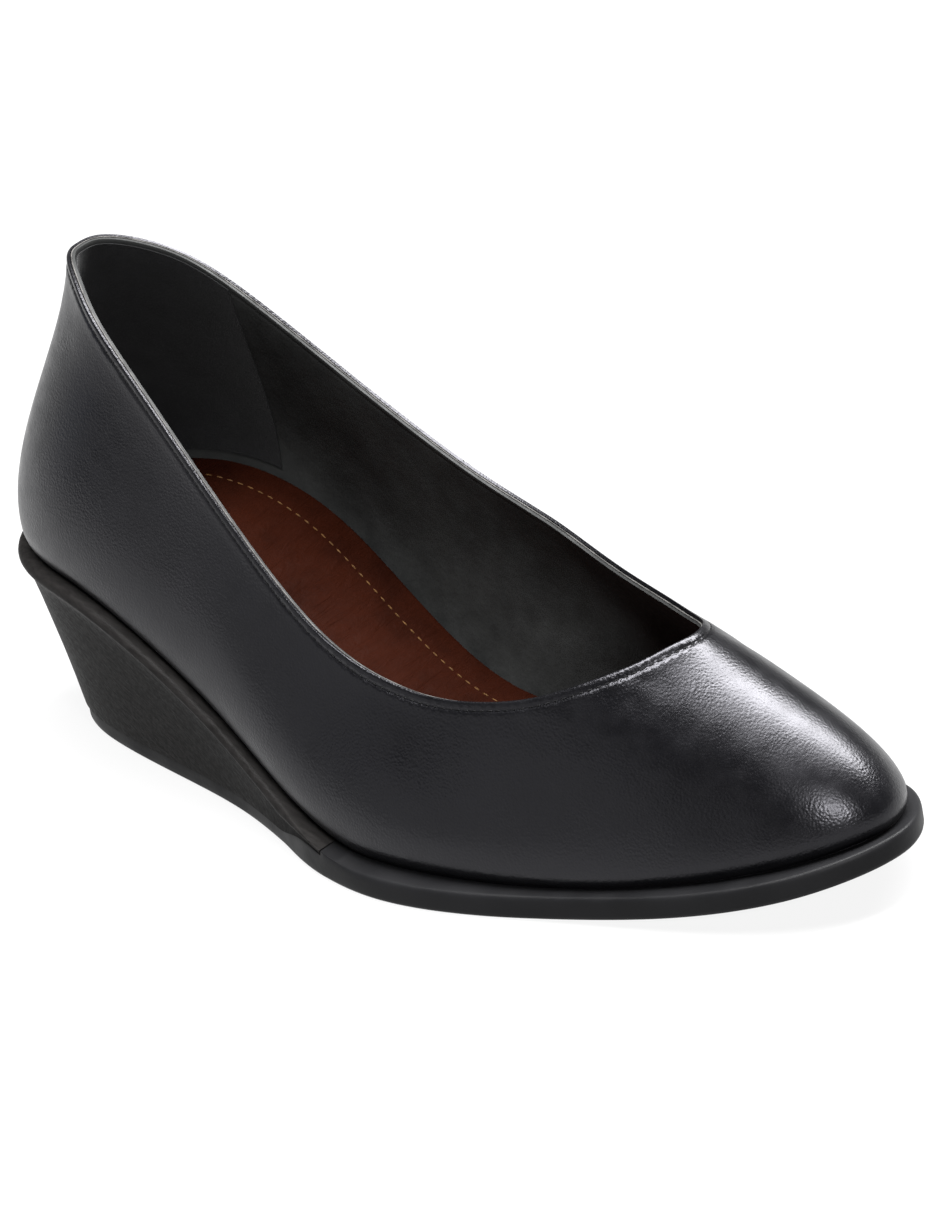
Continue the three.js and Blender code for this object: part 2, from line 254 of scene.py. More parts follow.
@dataclass(frozen=True)
class SoleProfile:
    """The shoe's profile along the foot, in millimetres and shares of the length."""

    length: float = 240
    heel_height: float = 45
    toe_spring: float = 10.5
    sole: float = 6
    tread: float = 4.2
    wedge_edge: float = 1
    ramp_top: float = 0.1
    ramp_foot: float = 0.53
    tread_lift: float = 0.66
    wedge_skive: float = 0.4
    wedge_front: float = 0.483

    def tread_height(self, x: np.ndarray) -> np.ndarray:
        """Returns the height of the tread, which lifts towards the toe."""
        share = np.maximum(0, (x / self.length - self.tread_lift) / (1 - self.tread_lift))
        return self.toe_spring * share * share

    def seat_height(self, x: np.ndarray) -> np.ndarray:
        """Returns the height of the last's edge above the floor."""
        down = ease(x / self.length, self.ramp_top, self.ramp_foot)
        return self.tread_height(x) + self.heel_height + (self.sole - self.heel_height) * down

    def tread_top(self, x: np.ndarray) -> np.ndarray:
        """Returns the top of the outsole where the wedge lies on it."""
        up = ease(x / self.length, self.wedge_skive, self.wedge_front)
        front = self.seat_height(x) - self.wedge_edge - 2 * GAP
        return self.tread + (front - self.tread) * up

    def wedge_height(self, x: np.ndarray) -> np.ndarray:
        """Returns how high the wedge stands, nothing in the forefoot."""
        return np.maximum(0, self.seat_height(x) - self.tread_top(x) - 2 * GAP)


@dataclass
class Last:
    """The last as a closed loop of sections: toe, outer side, heel, inner side, toe.

    A place on the loop is a section number: 0 at the toe, 15 at the heel and 30 back at
    the toe.
    """

    profile: SoleProfile
    ball_width: float = 84
    instep: float = 52

    def __post_init__(self) -> None:
        """Fits a curve to each column of the loop's sections."""
        length = self.profile.length
        rows = []
        for section, side in self.loop():
            topline = section.topline
            is_outer = side is Side.OUTER
            rows.append(
                {
                    "foot": section.edge.foot * length,
                    "side": (section.edge.outer if is_outer else section.edge.inner)
                    * self.ball_width,
                    "top": topline.top * length,
                    "side_top": (topline.outer if is_outer else topline.inner) * self.ball_width,
                    "rise": (topline.outer_rise if is_outer else topline.inner_rise) * self.instep,
                    "lean": math.radians(section.flank.lean),
                    "swell": section.flank.swell,
                    "pitch": math.radians(section.flank.pitch),
                    "reach": section.flank.reach,
                    "welt": section.edge.outer_welt if is_outer else section.edge.inner_welt,
                }
            )
        self.sections = len(rows)
        plan = np.array([[row["foot"], row["side"]] for row in rows])
        chords = np.linalg.norm(np.roll(plan, -1, axis=0) - plan, axis=1)
        knots = np.concatenate([[0], np.cumsum(np.sqrt(chords))])
        self.knots = knots
        self.curves = {
            column: ClosedCurve(knots[:-1], knots[-1], np.array([row[column] for row in rows]))
            for column in rows[0]
        }
        self.shift = np.zeros(3)

    @staticmethod
    def loop() -> list[tuple[Section, Side]]:
        """Returns the sections out along the outer side and back along the inner one."""
        outer = [(section, Side.OUTER) for section in reversed(SECTIONS)]
        inner = [(section, Side.INNER) for section in SECTIONS[1:-1]]
        return outer + inner

    def seat_on(self, node: str, inward: float) -> None:
        """Moves the last to where the part's frame has it.

        Args:
            node: A CAD node that follows the last's edge all round.
            inward: How far inside the edge it lies, in millimetres.
        """
        rim = self.edge(np.arange(0, self.sections, 1 / 3), -inward)
        low, high = (np.array(corner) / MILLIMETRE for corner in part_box(node))
        middle = (rim.min(axis=0) + rim.max(axis=0)) / 2
        self.shift = (low + high) / 2 - middle
        self.shift[2] = 0

    def knot(self, number: np.ndarray) -> np.ndarray:
        """Returns the curves' own place for a section number."""
        wrapped = np.mod(number, self.sections)
        return np.interp(wrapped, np.arange(self.sections + 1), self.knots)

    def number_at(self, x: float) -> float:
        """Returns the outer side's section number where the edge is x from the heel."""
        numbers = np.linspace(0, self.sections / 2, 2000)
        feet = self.curves["foot"](self.knot(numbers))
        return float(np.interp(-x, -feet, numbers))

    def welt(self, number: np.ndarray) -> np.ndarray:
        """Returns how far sole and rim stand out, as a share of their plain overhangs."""
        return self.curves["welt"](self.knot(number))

    def outward(self, x_column: str, y_column: str, number: np.ndarray) -> np.ndarray:
        """Returns the level outward normals of a plan curve."""
        at = self.knot(number)
        step = 0.01
        dx = self.curves[x_column](at + step) - self.curves[x_column](at - step)
        dy = self.curves[y_column](at + step) - self.curves[y_column](at - step)
        return unit(np.stack([-dy, dx, np.zeros_like(dx)], axis=-1))

    def edge(self, number: np.ndarray, out: np.ndarray | float = 0.0) -> np.ndarray:
        """Returns points beside the last's edge, out by a distance, at the seat's height."""
        at = self.knot(number)
        plan = np.stack(
            [self.curves["foot"](at), self.curves["side"](at), np.zeros_like(at)], axis=-1
        )
        points = plan + self.outward("foot", "side", number) * np.asarray(out)[..., None]
        points[..., 2] = self.profile.seat_height(points[..., 0])
        return points

    def outside(self, number: np.ndarray, up: np.ndarray) -> np.ndarray:
        """Returns points of the upper's outside, from the edge at 0 to the topline at 1."""
        at = self.knot(number)
        values = {name: curve(at) for name, curve in self.curves.items()}
        start = self.edge(number)
        height = self.profile.seat_height(values["top"]) + values["rise"]
        end = np.stack([values["top"], values["side_top"], height], axis=-1)
        wall = np.linalg.norm(end - start, axis=-1)[..., None]
        leave = self.outward("foot", "side", number) * np.sin(values["lean"])[..., None]
        leave[..., 2] = np.cos(values["lean"])
        arrive = self.outward("top", "side_top", number) * np.cos(values["pitch"])[..., None]
        arrive[..., 2] = -np.sin(values["pitch"])
        low = start + leave * wall * values["swell"][..., None]
        high = end + arrive * wall * values["reach"][..., None]
        t = np.asarray(up)[..., None]
        s = 1 - t
        return s**3 * start + 3 * s * s * t * low + 3 * s * t * t * high + t**3 * end

    def normal(self, number: np.ndarray, up: np.ndarray) -> np.ndarray:
        """Returns the outward normals of the upper's outside."""
        step = 0.005
        along = self.outside(number + step, up) - self.outside(number - step, up)
        rising = self.outside(number, up + step) - self.outside(number, up - step)
        return unit(np.cross(rising, along))

    def place(self, points: np.ndarray) -> np.ndarray:
        """Returns points of the last in the part's frame, in metres."""
        return (points + self.shift) * MILLIMETRE


@dataclass(frozen=True)
class Crease:
    """A soft trough in the leather between two places, each a section number and height share.

    Depth and width are in millimetres.
    """

    start: tuple[float, float]
    end: tuple[float, float]
    depth: float
    width: float

    def sink(self, last: Last, points: np.ndarray) -> np.ndarray:
        """Returns how far the crease draws in each of the points."""
        places = (self.start, self.end)
        start, end = (last.outside(np.array(number), np.array(up)) for number, up in places)
        run = end - start
        share = np.clip((points - start) @ run / (run @ run), 0, 1)
        nearest = start + share[..., None] * run
        distance = np.linalg.norm(points - nearest, axis=-1)
        fade = np.sin(math.pi * np.clip(share, 0.02, 0.98)) ** 0.6
        return self.depth * fade * hump(distance, self.width)


class Sweep:
    """A closed section swept through stations with extrude, each ring placed by its points."""

    def __init__(self, first: np.ndarray) -> None:
        """Starts the sweep.

        Args:
            first: The first ring's points, in metres.
        """
        self.bm = bmesh.new()
        self.number = self.bm.verts.layers.int.new("number")
        made = bmesh.ops.create_circle(self.bm, segments=len(first), radius=1)
        for number, vert in enumerate(made["verts"]):
            vert[self.number] = number
        self.edges = list(self.bm.edges)
        self.first_edges = list(self.edges)
        self.faces_by_station: list[list[bmesh.types.BMFace]] = []
        self.move(made["verts"], first)

    def move(self, verts: list[bmesh.types.BMVert], points: np.ndarray) -> None:
        """Puts a ring's vertices at its points."""
        for vert in verts:
            vert.co = Vector(points[vert[self.number]])

    def extend(self, points: np.ndarray) -> None:
        """Grows the sweep by one ring."""
        made = bmesh.ops.extrude_edge_only(self.bm, edges=self.edges)
        verts = [item for item in made["geom"] if isinstance(item, bmesh.types.BMVert)]
        fresh = set(verts)
        edges = [item for item in made["geom"] if isinstance(item, bmesh.types.BMEdge)]
        self.edges = [edge for edge in edges if edge.verts[0] in fresh and edge.verts[1] in fresh]
        faces = [item for item in made["geom"] if isinstance(item, bmesh.types.BMFace)]
        self.faces_by_station.append(faces)
        self.move(verts, points)

    def write_map(self, along: np.ndarray, across: np.ndarray) -> None:
        """Writes the sweep's own map.

        Args:
            along: Each station's first coordinate, such as its distance along the sweep.
            across: Each ring point's second one, such as its distance round the section.
        """
        layer = self.bm.loops.layers.uv.new("sweep")
        count = len(across)
        for station, faces in enumerate(self.faces_by_station):
            for face in faces:
                numbers = [loop.vert[self.number] for loop in face.loops]
                wraps = max(numbers) - min(numbers) > 1
                for loop in face.loops:
                    number = loop.vert[self.number]
                    beyond = wraps and number == 0
                    v = across[count - 1] if beyond else across[number]
                    loop[layer].uv = (along[station], v)

    def close_ends(self) -> None:
        """Closes both ends with a face across the ring."""
        for edges in (self.first_edges, self.edges):
            bmesh.ops.contextual_create(self.bm, geom=edges)

    def weld(self) -> None:
        """Welds a last ring onto a first that it meets, or a ring that has run to a line."""
        bmesh.ops.remove_doubles(self.bm, verts=self.bm.verts, dist=1e-6)
        bmesh.ops.dissolve_degenerate(self.bm, edges=self.bm.edges, dist=1e-7)


def sweep_stations(rings: np.ndarray) -> Sweep:
    """Sweeps a section through an array of rings.

    Args:
        rings: The points of each station's ring, by station, ring point and axis.

    Returns:
        The sweep, still open at its ends.
    """
    sweep = Sweep(rings[0])
    for ring in rings[1:]:
        sweep.extend(ring)
    return sweep


def finish_mesh(bm: bmesh.types.BMesh, name: str, sharp: float = 40.0) -> bpy.types.Object:
    """Turns a closed bmesh into a smooth-shaded object at the origin.

    Args:
        bm: The piece's mesh, which is freed.
        name: The piece's name.
        sharp: Edges bent by more than this many degrees stay sharp.

    Returns:
        The new object, linked to the scene.
    """
    bmesh.ops.recalc_face_normals(bm, faces=bm.faces)
    if bm.calc_volume(signed=True) < 0:
        bmesh.ops.reverse_faces(bm, faces=bm.faces)
    mesh = bpy.data.meshes.new(name)
    bm.to_mesh(mesh)
    bm.free()
    mesh.shade_smooth()
    mesh.set_sharp_from_angle(angle=math.radians(sharp))
    piece = bpy.data.objects.new(name, mesh)
    bpy.context.scene.collection.objects.link(piece)
    log.info("%s: %d faces", name, len(mesh.polygons))
    return piece


class NodeSheet:
    """The nodes of one material, added and linked in a line each."""

    def __init__(self, name: str) -> None:
        """Starts an empty material with a shader and an output."""
        self.material = bpy.data.materials.new(name)
        self.material.use_nodes = True
        self.tree = self.material.node_tree
        self.tree.nodes.clear()
        self.shader = self.tree.nodes.new("ShaderNodeBsdfPrincipled")
        output = self.tree.nodes.new("ShaderNodeOutputMaterial")
        self.link(self.shader.outputs["BSDF"], output.inputs["Surface"])
        self.height: bpy.types.NodeSocket | None = None

    def link(self, source: bpy.types.NodeSocket, target: bpy.types.NodeSocket) -> None:
        """Links two sockets."""
        self.tree.links.new(source, target)

    def set(self, **values: float | tuple[float, ...]) -> None:
        """Sets the shader's own sockets, named with underscores for spaces."""
        for name, value in values.items():
            self.shader.inputs[name.replace("_", " ")].default_value = value

    def coordinates(
        self, scale: tuple[float, float, float] = (1, 1, 1), tilt: float = 0.0
    ) -> bpy.types.NodeSocket:
        """Returns the object's own coordinates, tilted nose down by degrees and stretched."""
        source = self.tree.nodes.new("ShaderNodeTexCoord")
        mapping = self.tree.nodes.new("ShaderNodeMapping")
        mapping.vector_type = "TEXTURE"
        mapping.inputs["Rotation"].default_value = (0, math.radians(tilt), 0)
        mapping.inputs["Scale"].default_value = tuple(1 / value for value in scale)
        self.link(source.outputs["Object"], mapping.inputs["Vector"])
        return mapping.outputs["Vector"]

    def noise(
        self,
        scale: float,
        detail: float = 3,
        roughness: float = 0.5,
        stretch: tuple[float, float, float] = (1, 1, 1),
        distortion: float = 0.0,
        tilt: float = 0.0,
    ) -> bpy.types.NodeSocket:
        """Returns a noise's factor, with scale in cells per metre."""
        node = self.tree.nodes.new("ShaderNodeTexNoise")
        node.inputs["Scale"].default_value = scale
        node.inputs["Detail"].default_value = detail
        node.inputs["Roughness"].default_value = roughness
        node.inputs["Distortion"].default_value = distortion
        self.link(self.coordinates(stretch, tilt), node.inputs["Vector"])
        return node.outputs["Fac"]

    def cells(self, scale: float, smoothness: float = 0.6) -> bpy.types.NodeSocket:
        """Returns the distance to the middle of soft cells, with scale in cells per metre."""
        node = self.tree.nodes.new("ShaderNodeTexVoronoi")
        node.feature = "SMOOTH_F1"
        node.inputs["Scale"].default_value = scale
        node.inputs["Smoothness"].default_value = smoothness
        self.link(self.coordinates(), node.inputs["Vector"])
        return node.outputs["Distance"]

    def nearness(self) -> bpy.types.NodeSocket:
        """Returns 1 at the piece's origin, falling to 0 a metre away."""
        node = self.tree.nodes.new("ShaderNodeTexGradient")
        node.gradient_type = "SPHERICAL"
        self.link(self.coordinates(), node.inputs["Vector"])
        return node.outputs["Fac"]

    def sweep_map(self) -> tuple[bpy.types.NodeSocket, bpy.types.NodeSocket]:
        """Returns the two coordinates of the piece's own map, along its sweep and across."""
        source = self.tree.nodes.new("ShaderNodeUVMap")
        source.uv_map = "sweep"
        split = self.tree.nodes.new("ShaderNodeSeparateXYZ")
        self.link(source.outputs["UV"], split.inputs["Vector"])
        return split.outputs["X"], split.outputs["Y"]

    def remap(
        self, value: bpy.types.NodeSocket, low: float, high: float, to_low: float, to_high: float
    ) -> bpy.types.NodeSocket:
        """Returns a value carried from one range to another, eased and held at its ends."""
        node = self.tree.nodes.new("ShaderNodeMapRange")
        node.interpolation_type = "SMOOTHSTEP"
        node.inputs["From Min"].default_value = low
        node.inputs["From Max"].default_value = high
        node.inputs["To Min"].default_value = to_low
        node.inputs["To Max"].default_value = to_high
        self.link(value, node.inputs["Value"])
        return node.outputs["Result"]

    def maths(
        self,
        operation: str,
        first: bpy.types.NodeSocket | float,
        second: bpy.types.NodeSocket | float = 0.0,
    ) -> bpy.types.NodeSocket:
        """Returns a sum, product or other result of two values."""
        node = self.tree.nodes.new("ShaderNodeMath")
        node.operation = operation
        for socket, value in zip(node.inputs, (first, second)):
            if isinstance(value, bpy.types.NodeSocket):
                self.link(value, socket)
            else:
                socket.default_value = value
        return node.outputs["Value"]

    def colours(
        self, value: bpy.types.NodeSocket, stops: list[tuple[float, tuple[float, float, float]]]
    ) -> None:
        """Colours the surface by a value through a ramp of stops."""
        ramp = self.tree.nodes.new("ShaderNodeValToRGB")
        elements = ramp.color_ramp.elements
        while len(elements) < len(stops):
            elements.new(0.5)
        for element, (place, colour) in zip(elements, stops):
            element.position = place
            element.color = (*colour, 1)
        self.link(value, ramp.inputs["Fac"])
        self.link(ramp.outputs["Color"], self.shader.inputs["Base Color"])

    def shade(
        self,
        value: bpy.types.NodeSocket,
        colour: tuple[float, float, float],
        stops: tuple[tuple[float, float], ...],
    ) -> None:
        """Colours the surface by a value in shades of one colour, each a place and a factor."""
        shades = [(place, tuple(factor * part for part in colour)) for place, factor in stops]
        self.colours(value, shades)

    def mix_colour(
        self, share: bpy.types.NodeSocket, colour: tuple[float, float, float]
    ) -> None:
        """Mixes a share of another colour into what colours the surface."""
        node = self.tree.nodes.new("ShaderNodeMix")
        node.data_type = "RGBA"
        base = self.shader.inputs["Base Color"].links[0].from_socket
        self.link(share, node.inputs["Factor"])
        self.link(base, node.inputs["A"])
        node.inputs["B"].default_value = (*colour, 1)
        self.link(node.outputs["Result"], self.shader.inputs["Base Color"])

    def rough(self, value: bpy.types.NodeSocket, low: float, high: float) -> None:
        """Lets a value run the roughness between two limits."""
        self.link(self.remap(value, 0.3, 0.7, low, high), self.shader.inputs["Roughness"])

    def bump(self, value: bpy.types.NodeSocket, height: float) -> None:
        """Adds relief, with height in metres, over what relief there is."""
        scaled = self.maths("MULTIPLY", value, height)
        self.height = self.maths("ADD", self.height, scaled) if self.height else scaled

    def done(self) -> bpy.types.Material:
        """Joins the relief to the shader and returns the material."""
        if self.height:
            node = self.tree.nodes.new("ShaderNodeBump")
            node.inputs["Distance"].default_value = 1
            node.inputs["Strength"].default_value = 1
            self.link(self.height, node.inputs["Height"])
            self.link(node.outputs["Normal"], self.shader.inputs["Normal"])
        return self.material


@dataclass(frozen=True)
class UpperLeather:
    """Smooth black leather with a fine grain and a satin polish."""

    stitch_depth: float
    stitch_pitch: float
    colour: tuple[float, float, float] = (0.0012, 0.0012, 0.0016)
    grain: float = 1700
    grain_height: float = 0.00006

    def material(self) -> bpy.types.Material:
        """Returns the leather's material."""
        sheet = NodeSheet("upper leather")
        # The bluish specular tint stands in for bluish light in the leather's reflections: painted
        # light colour, not the leather's own.
        sheet.set(Specular_IOR_Level=0.36, Specular_Tint=(0.93, 0.92, 1.0, 1))
        sheet.shade(sheet.noise(45, detail=4), self.colour, ((0.3, 0.8), (0.7, 1.25)))
        sheet.rough(sheet.noise(160, detail=5, roughness=0.6), 0.28, 0.36)
        pebbles = sheet.cells(self.grain)
        strength = sheet.remap(sheet.noise(60, detail=2), 0.35, 0.65, 0.5, 1.0)
        sheet.bump(sheet.maths("MULTIPLY", pebbles, strength), self.grain_height)
        sheet.bump(sheet.noise(1300, detail=4, roughness=0.65, distortion=0.6), 0.000026)
        sheet.bump(sheet.noise(90, detail=2), 0.00003)
        along, down = sheet.sweep_map()
        waves = sheet.maths("COSINE", sheet.maths("MULTIPLY", along, math.tau / self.stitch_pitch))
        distance = sheet.maths("ABSOLUTE", sheet.maths("SUBTRACT", down, self.stitch_depth))
        near = sheet.remap(distance, 0.0003, 0.0013, 1.0, 0.0)
        sheet.bump(sheet.maths("MULTIPLY", waves, near), 0.00005)
        return sheet.done()


@dataclass(frozen=True)
class LiningLeather:
    """Dull black lining."""

    colour: tuple[float, float, float] = (0.0165, 0.017, 0.0168)

    def material(self) -> bpy.types.Material:
        """Returns the lining's material."""
        sheet = NodeSheet("lining leather")
        sheet.set(Specular_IOR_Level=0.2)
        mottle = sheet.noise(70, detail=5, roughness=0.6)
        sheet.shade(mottle, self.colour, ((0.3, 0.7), (0.7, 1.5)))
        sheet.rough(sheet.noise(240, detail=4), 0.5, 0.66)
        sheet.bump(sheet.cells(800), 0.00005)
        sheet.bump(sheet.noise(260, detail=4), 0.0001)
        return sheet.done()


@dataclass(frozen=True)
class HeelGrip:
    """Brushed nap of the lining round the heel."""

    colour: tuple[float, float, float] = (0.008, 0.008, 0.0085)

    def material(self) -> bpy.types.Material:
        """Returns the nap's material."""
        sheet = NodeSheet("heel lining nap")
        sheet.set(Specular_IOR_Level=0.15, Sheen_Weight=0.08, Sheen_Roughness=0.45)
        mottle = sheet.noise(120, detail=6, roughness=0.7)
        sheet.shade(mottle, self.colour, ((0.3, 0.75), (0.7, 1.3)))
        sheet.rough(sheet.noise(500, detail=3), 0.8, 0.95)
        sheet.bump(sheet.noise(2200, detail=3, roughness=0.7), 0.0001)
        return sheet.done()


@dataclass(frozen=True)
class CutEdgeAndGlint:
    """The leather's pale edge along the topline, pale partly as raw cut leather is and partly as a
    painted highlight where the edge catches light.
    """

    # The pale colour is partly the raw leather's own and partly a painted highlight where the edge
    # catches light.
    colour: tuple[float, float, float] = (0.06, 0.058, 0.056)

    def material(self) -> bpy.types.Material:
        """Returns the cut edge's material."""
        sheet = NodeSheet("cut edge and painted glint")
        sheet.set(Specular_IOR_Level=0.1)
        sheet.shade(sheet.noise(300, detail=4), self.colour, ((0.35, 0.45), (0.6, 1.3)))
        sheet.rough(sheet.noise(600, detail=2), 0.45, 0.6)
        sheet.bump(sheet.noise(1500, detail=3), 0.00008)
        return sheet.done()


@dataclass(frozen=True)
class Thread:
    """Sewing thread."""

    name: str
    colour: tuple[float, float, float]

    def material(self) -> bpy.types.Material:
        """Returns the thread's material."""
        sheet = NodeSheet(self.name)
        sheet.set(Specular_IOR_Level=0.12)
        sheet.shade(sheet.noise(900, detail=3), self.colour, ((0.3, 0.7), (0.7, 1.2)))
        sheet.rough(sheet.noise(900, detail=2), 0.5, 0.65)
        sheet.bump(sheet.noise(4000, detail=2, stretch=(1, 0.3, 1)), 0.00006)
        return sheet.done()


BLACK_THREAD = Thread("black thread", (0.004, 0.004, 0.0045))
GOLDEN_THREAD = Thread("golden thread", (0.075, 0.036, 0.011))


@dataclass(frozen=True)
class InsoleLeather:
    """Brown insole leather with fine wrinkles across the foot, far darker than the leather's own
    brown as painted shade inside the shoe.
    """

    # The colour is darkened far below the leather's own: painted shade, standing in for the shade
    # inside the shoe.
    colour: tuple[float, float, float] = (0.0145, 0.0032, 0.0014)

    def material(self) -> bpy.types.Material:
        """Returns the insole's material."""
        sheet = NodeSheet("insole leather")
        sheet.set(Specular_IOR_Level=0.02)
        mottle = sheet.noise(55, detail=6, roughness=0.62)
        sheet.shade(mottle, self.colour, ((0.3, 0.6), (0.52, 1), (0.72, 1.2)))
        sheet.rough(sheet.noise(200, detail=4), 0.5, 0.64)
        wrinkles = sheet.noise(150, detail=5, roughness=0.6, stretch=(3.2, 0.7, 1), distortion=0.8)
        sheet.bump(wrinkles, 0.0006)
        sheet.bump(sheet.cells(900), 0.00006)
        return sheet.done()


@dataclass(frozen=True)
class WedgeLeather:
    """Brushed brownish black leather, drawn in fine streaks along the wedge, with a painted
    highlight on its rim.
    """

    colour: tuple[float, float, float] = (0.0042, 0.0038, 0.0037)
    # The rim's lighter colour is a painted highlight, not the leather's own.
    rim_painted_highlight: tuple[float, float, float] = (0.022, 0.0206, 0.02)
    slope: float = 24

    def material(self) -> bpy.types.Material:
        """Returns the wedge cover's material."""
        sheet = NodeSheet("wedge leather")
        sheet.set(Specular_IOR_Level=0.04)
        streaks = sheet.noise(
            1000, detail=4, roughness=0.6, stretch=(0.2, 1, 1), distortion=0.3, tilt=self.slope
        )
        sheet.shade(streaks, self.colour, ((0.3, 0.5), (0.52, 1), (0.75, 1.8)))
        # The rim is mixed towards a lighter, streaked colour: a painted highlight where the rim
        # catches light from above.
        _, rim = sheet.sweep_map()
        sheet.mix_colour(sheet.maths("MULTIPLY", rim, streaks), self.rim_painted_highlight)
        sheet.rough(sheet.noise(900, detail=3), 0.44, 0.54)
        sheet.bump(streaks, 0.00008)
        sheet.bump(sheet.noise(1100, detail=3), 0.00003)
        sheet.bump(sheet.noise(60, detail=2), 0.00008)
        return sheet.done()


@dataclass(frozen=True)
class SoleRubber:
    """Smooth dull black rubber."""

    colour: tuple[float, float, float] = (0.0075, 0.0075, 0.0082)

    def material(self) -> bpy.types.Material:
        """Returns the rubber's material."""
        sheet = NodeSheet("sole rubber")
        sheet.set(Specular_IOR_Level=0.09)
        sheet.shade(sheet.noise(60, detail=4), self.colour, ((0.3, 0.8), (0.7, 1.3)))
        sheet.rough(sheet.noise(120, detail=5), 0.4, 0.52)
        sheet.bump(sheet.noise(900, detail=3), 0.00003)
        sheet.bump(sheet.noise(70, detail=2), 0.0001)
        return sheet.done()


@dataclass(frozen=True)
class PaleFloor:
    """Plain white studio floor, lit from beneath round the shoe as a light table is."""

    colour: tuple[float, float, float] = (0.06, 0.06, 0.06)
    glow: float = 0.88
    far_glow: float = 0.45

    def material(self) -> bpy.types.Material:
        """Returns the floor's material."""
        sheet = NodeSheet("pale floor")
        sheet.set(Roughness=1.0, Specular_IOR_Level=0.0, Emission_Color=(1, 1, 1, 1))
        sheet.shade(sheet.noise(3, detail=2), self.colour, ((0.4, 0.995), (0.6, 1)))
        glow = sheet.remap(sheet.nearness(), 0.2, 0.54, self.far_glow, self.glow)
        sheet.link(glow, sheet.shader.inputs["Emission Strength"])
        return sheet.done()


class UpperWall:
    """The upper's wall by distance down from the topline and depth into the leather.

    Close to its foot the way into the wall turns level, over the level reach.
    """

    TABLE_STEPS = 96
    LEVEL_REACH = 4.0

    def __init__(self, last: Last, numbers: np.ndarray) -> None:
        """Measures the wall at each station.

        Args:
            last: The last.
            numbers: The stations' section numbers.
        """
        self.last = last
        self.numbers = numbers
        ups = np.linspace(0, 1, self.TABLE_STEPS + 1)
        grid = last.outside(numbers[:, None], np.broadcast_to(ups, (len(numbers), len(ups))))
        steps = np.linalg.norm(np.diff(grid, axis=1), axis=2)
        rising = np.concatenate([np.zeros((len(numbers), 1)), np.cumsum(steps, axis=1)], axis=1)
        self.ups = ups
        self.rising = rising
        self.length = rising[:, -1]

    def up(self, down: float | np.ndarray) -> np.ndarray:
        """Returns the upper's own height share for distances down from the topline."""
        rise = self.length - down
        return np.array([np.interp(r, row, self.ups) for r, row in zip(rise, self.rising)])

    def points(self, down: float | np.ndarray, into: float | np.ndarray) -> np.ndarray:
        """Returns the wall's points at a distance down from the topline and into the wall.

        Args:
            down: The distance down, in millimetres, for all the stations or for each.
            into: The distance into the wall, likewise.

        Returns:
            A point for each station.
        """
        up = self.up(down)
        outside = self.last.outside(self.numbers, up)
        normal = self.last.normal(self.numbers, up)
        level = self.last.outward("foot", "side", self.numbers)
        turn = np.clip(1 - (self.length - down) / self.LEVEL_REACH, 0, 1)[:, None]
        normal = unit(normal * (1 - turn) + level * turn)
        return outside - normal * np.broadcast_to(into, self.length.shape)[:, None]


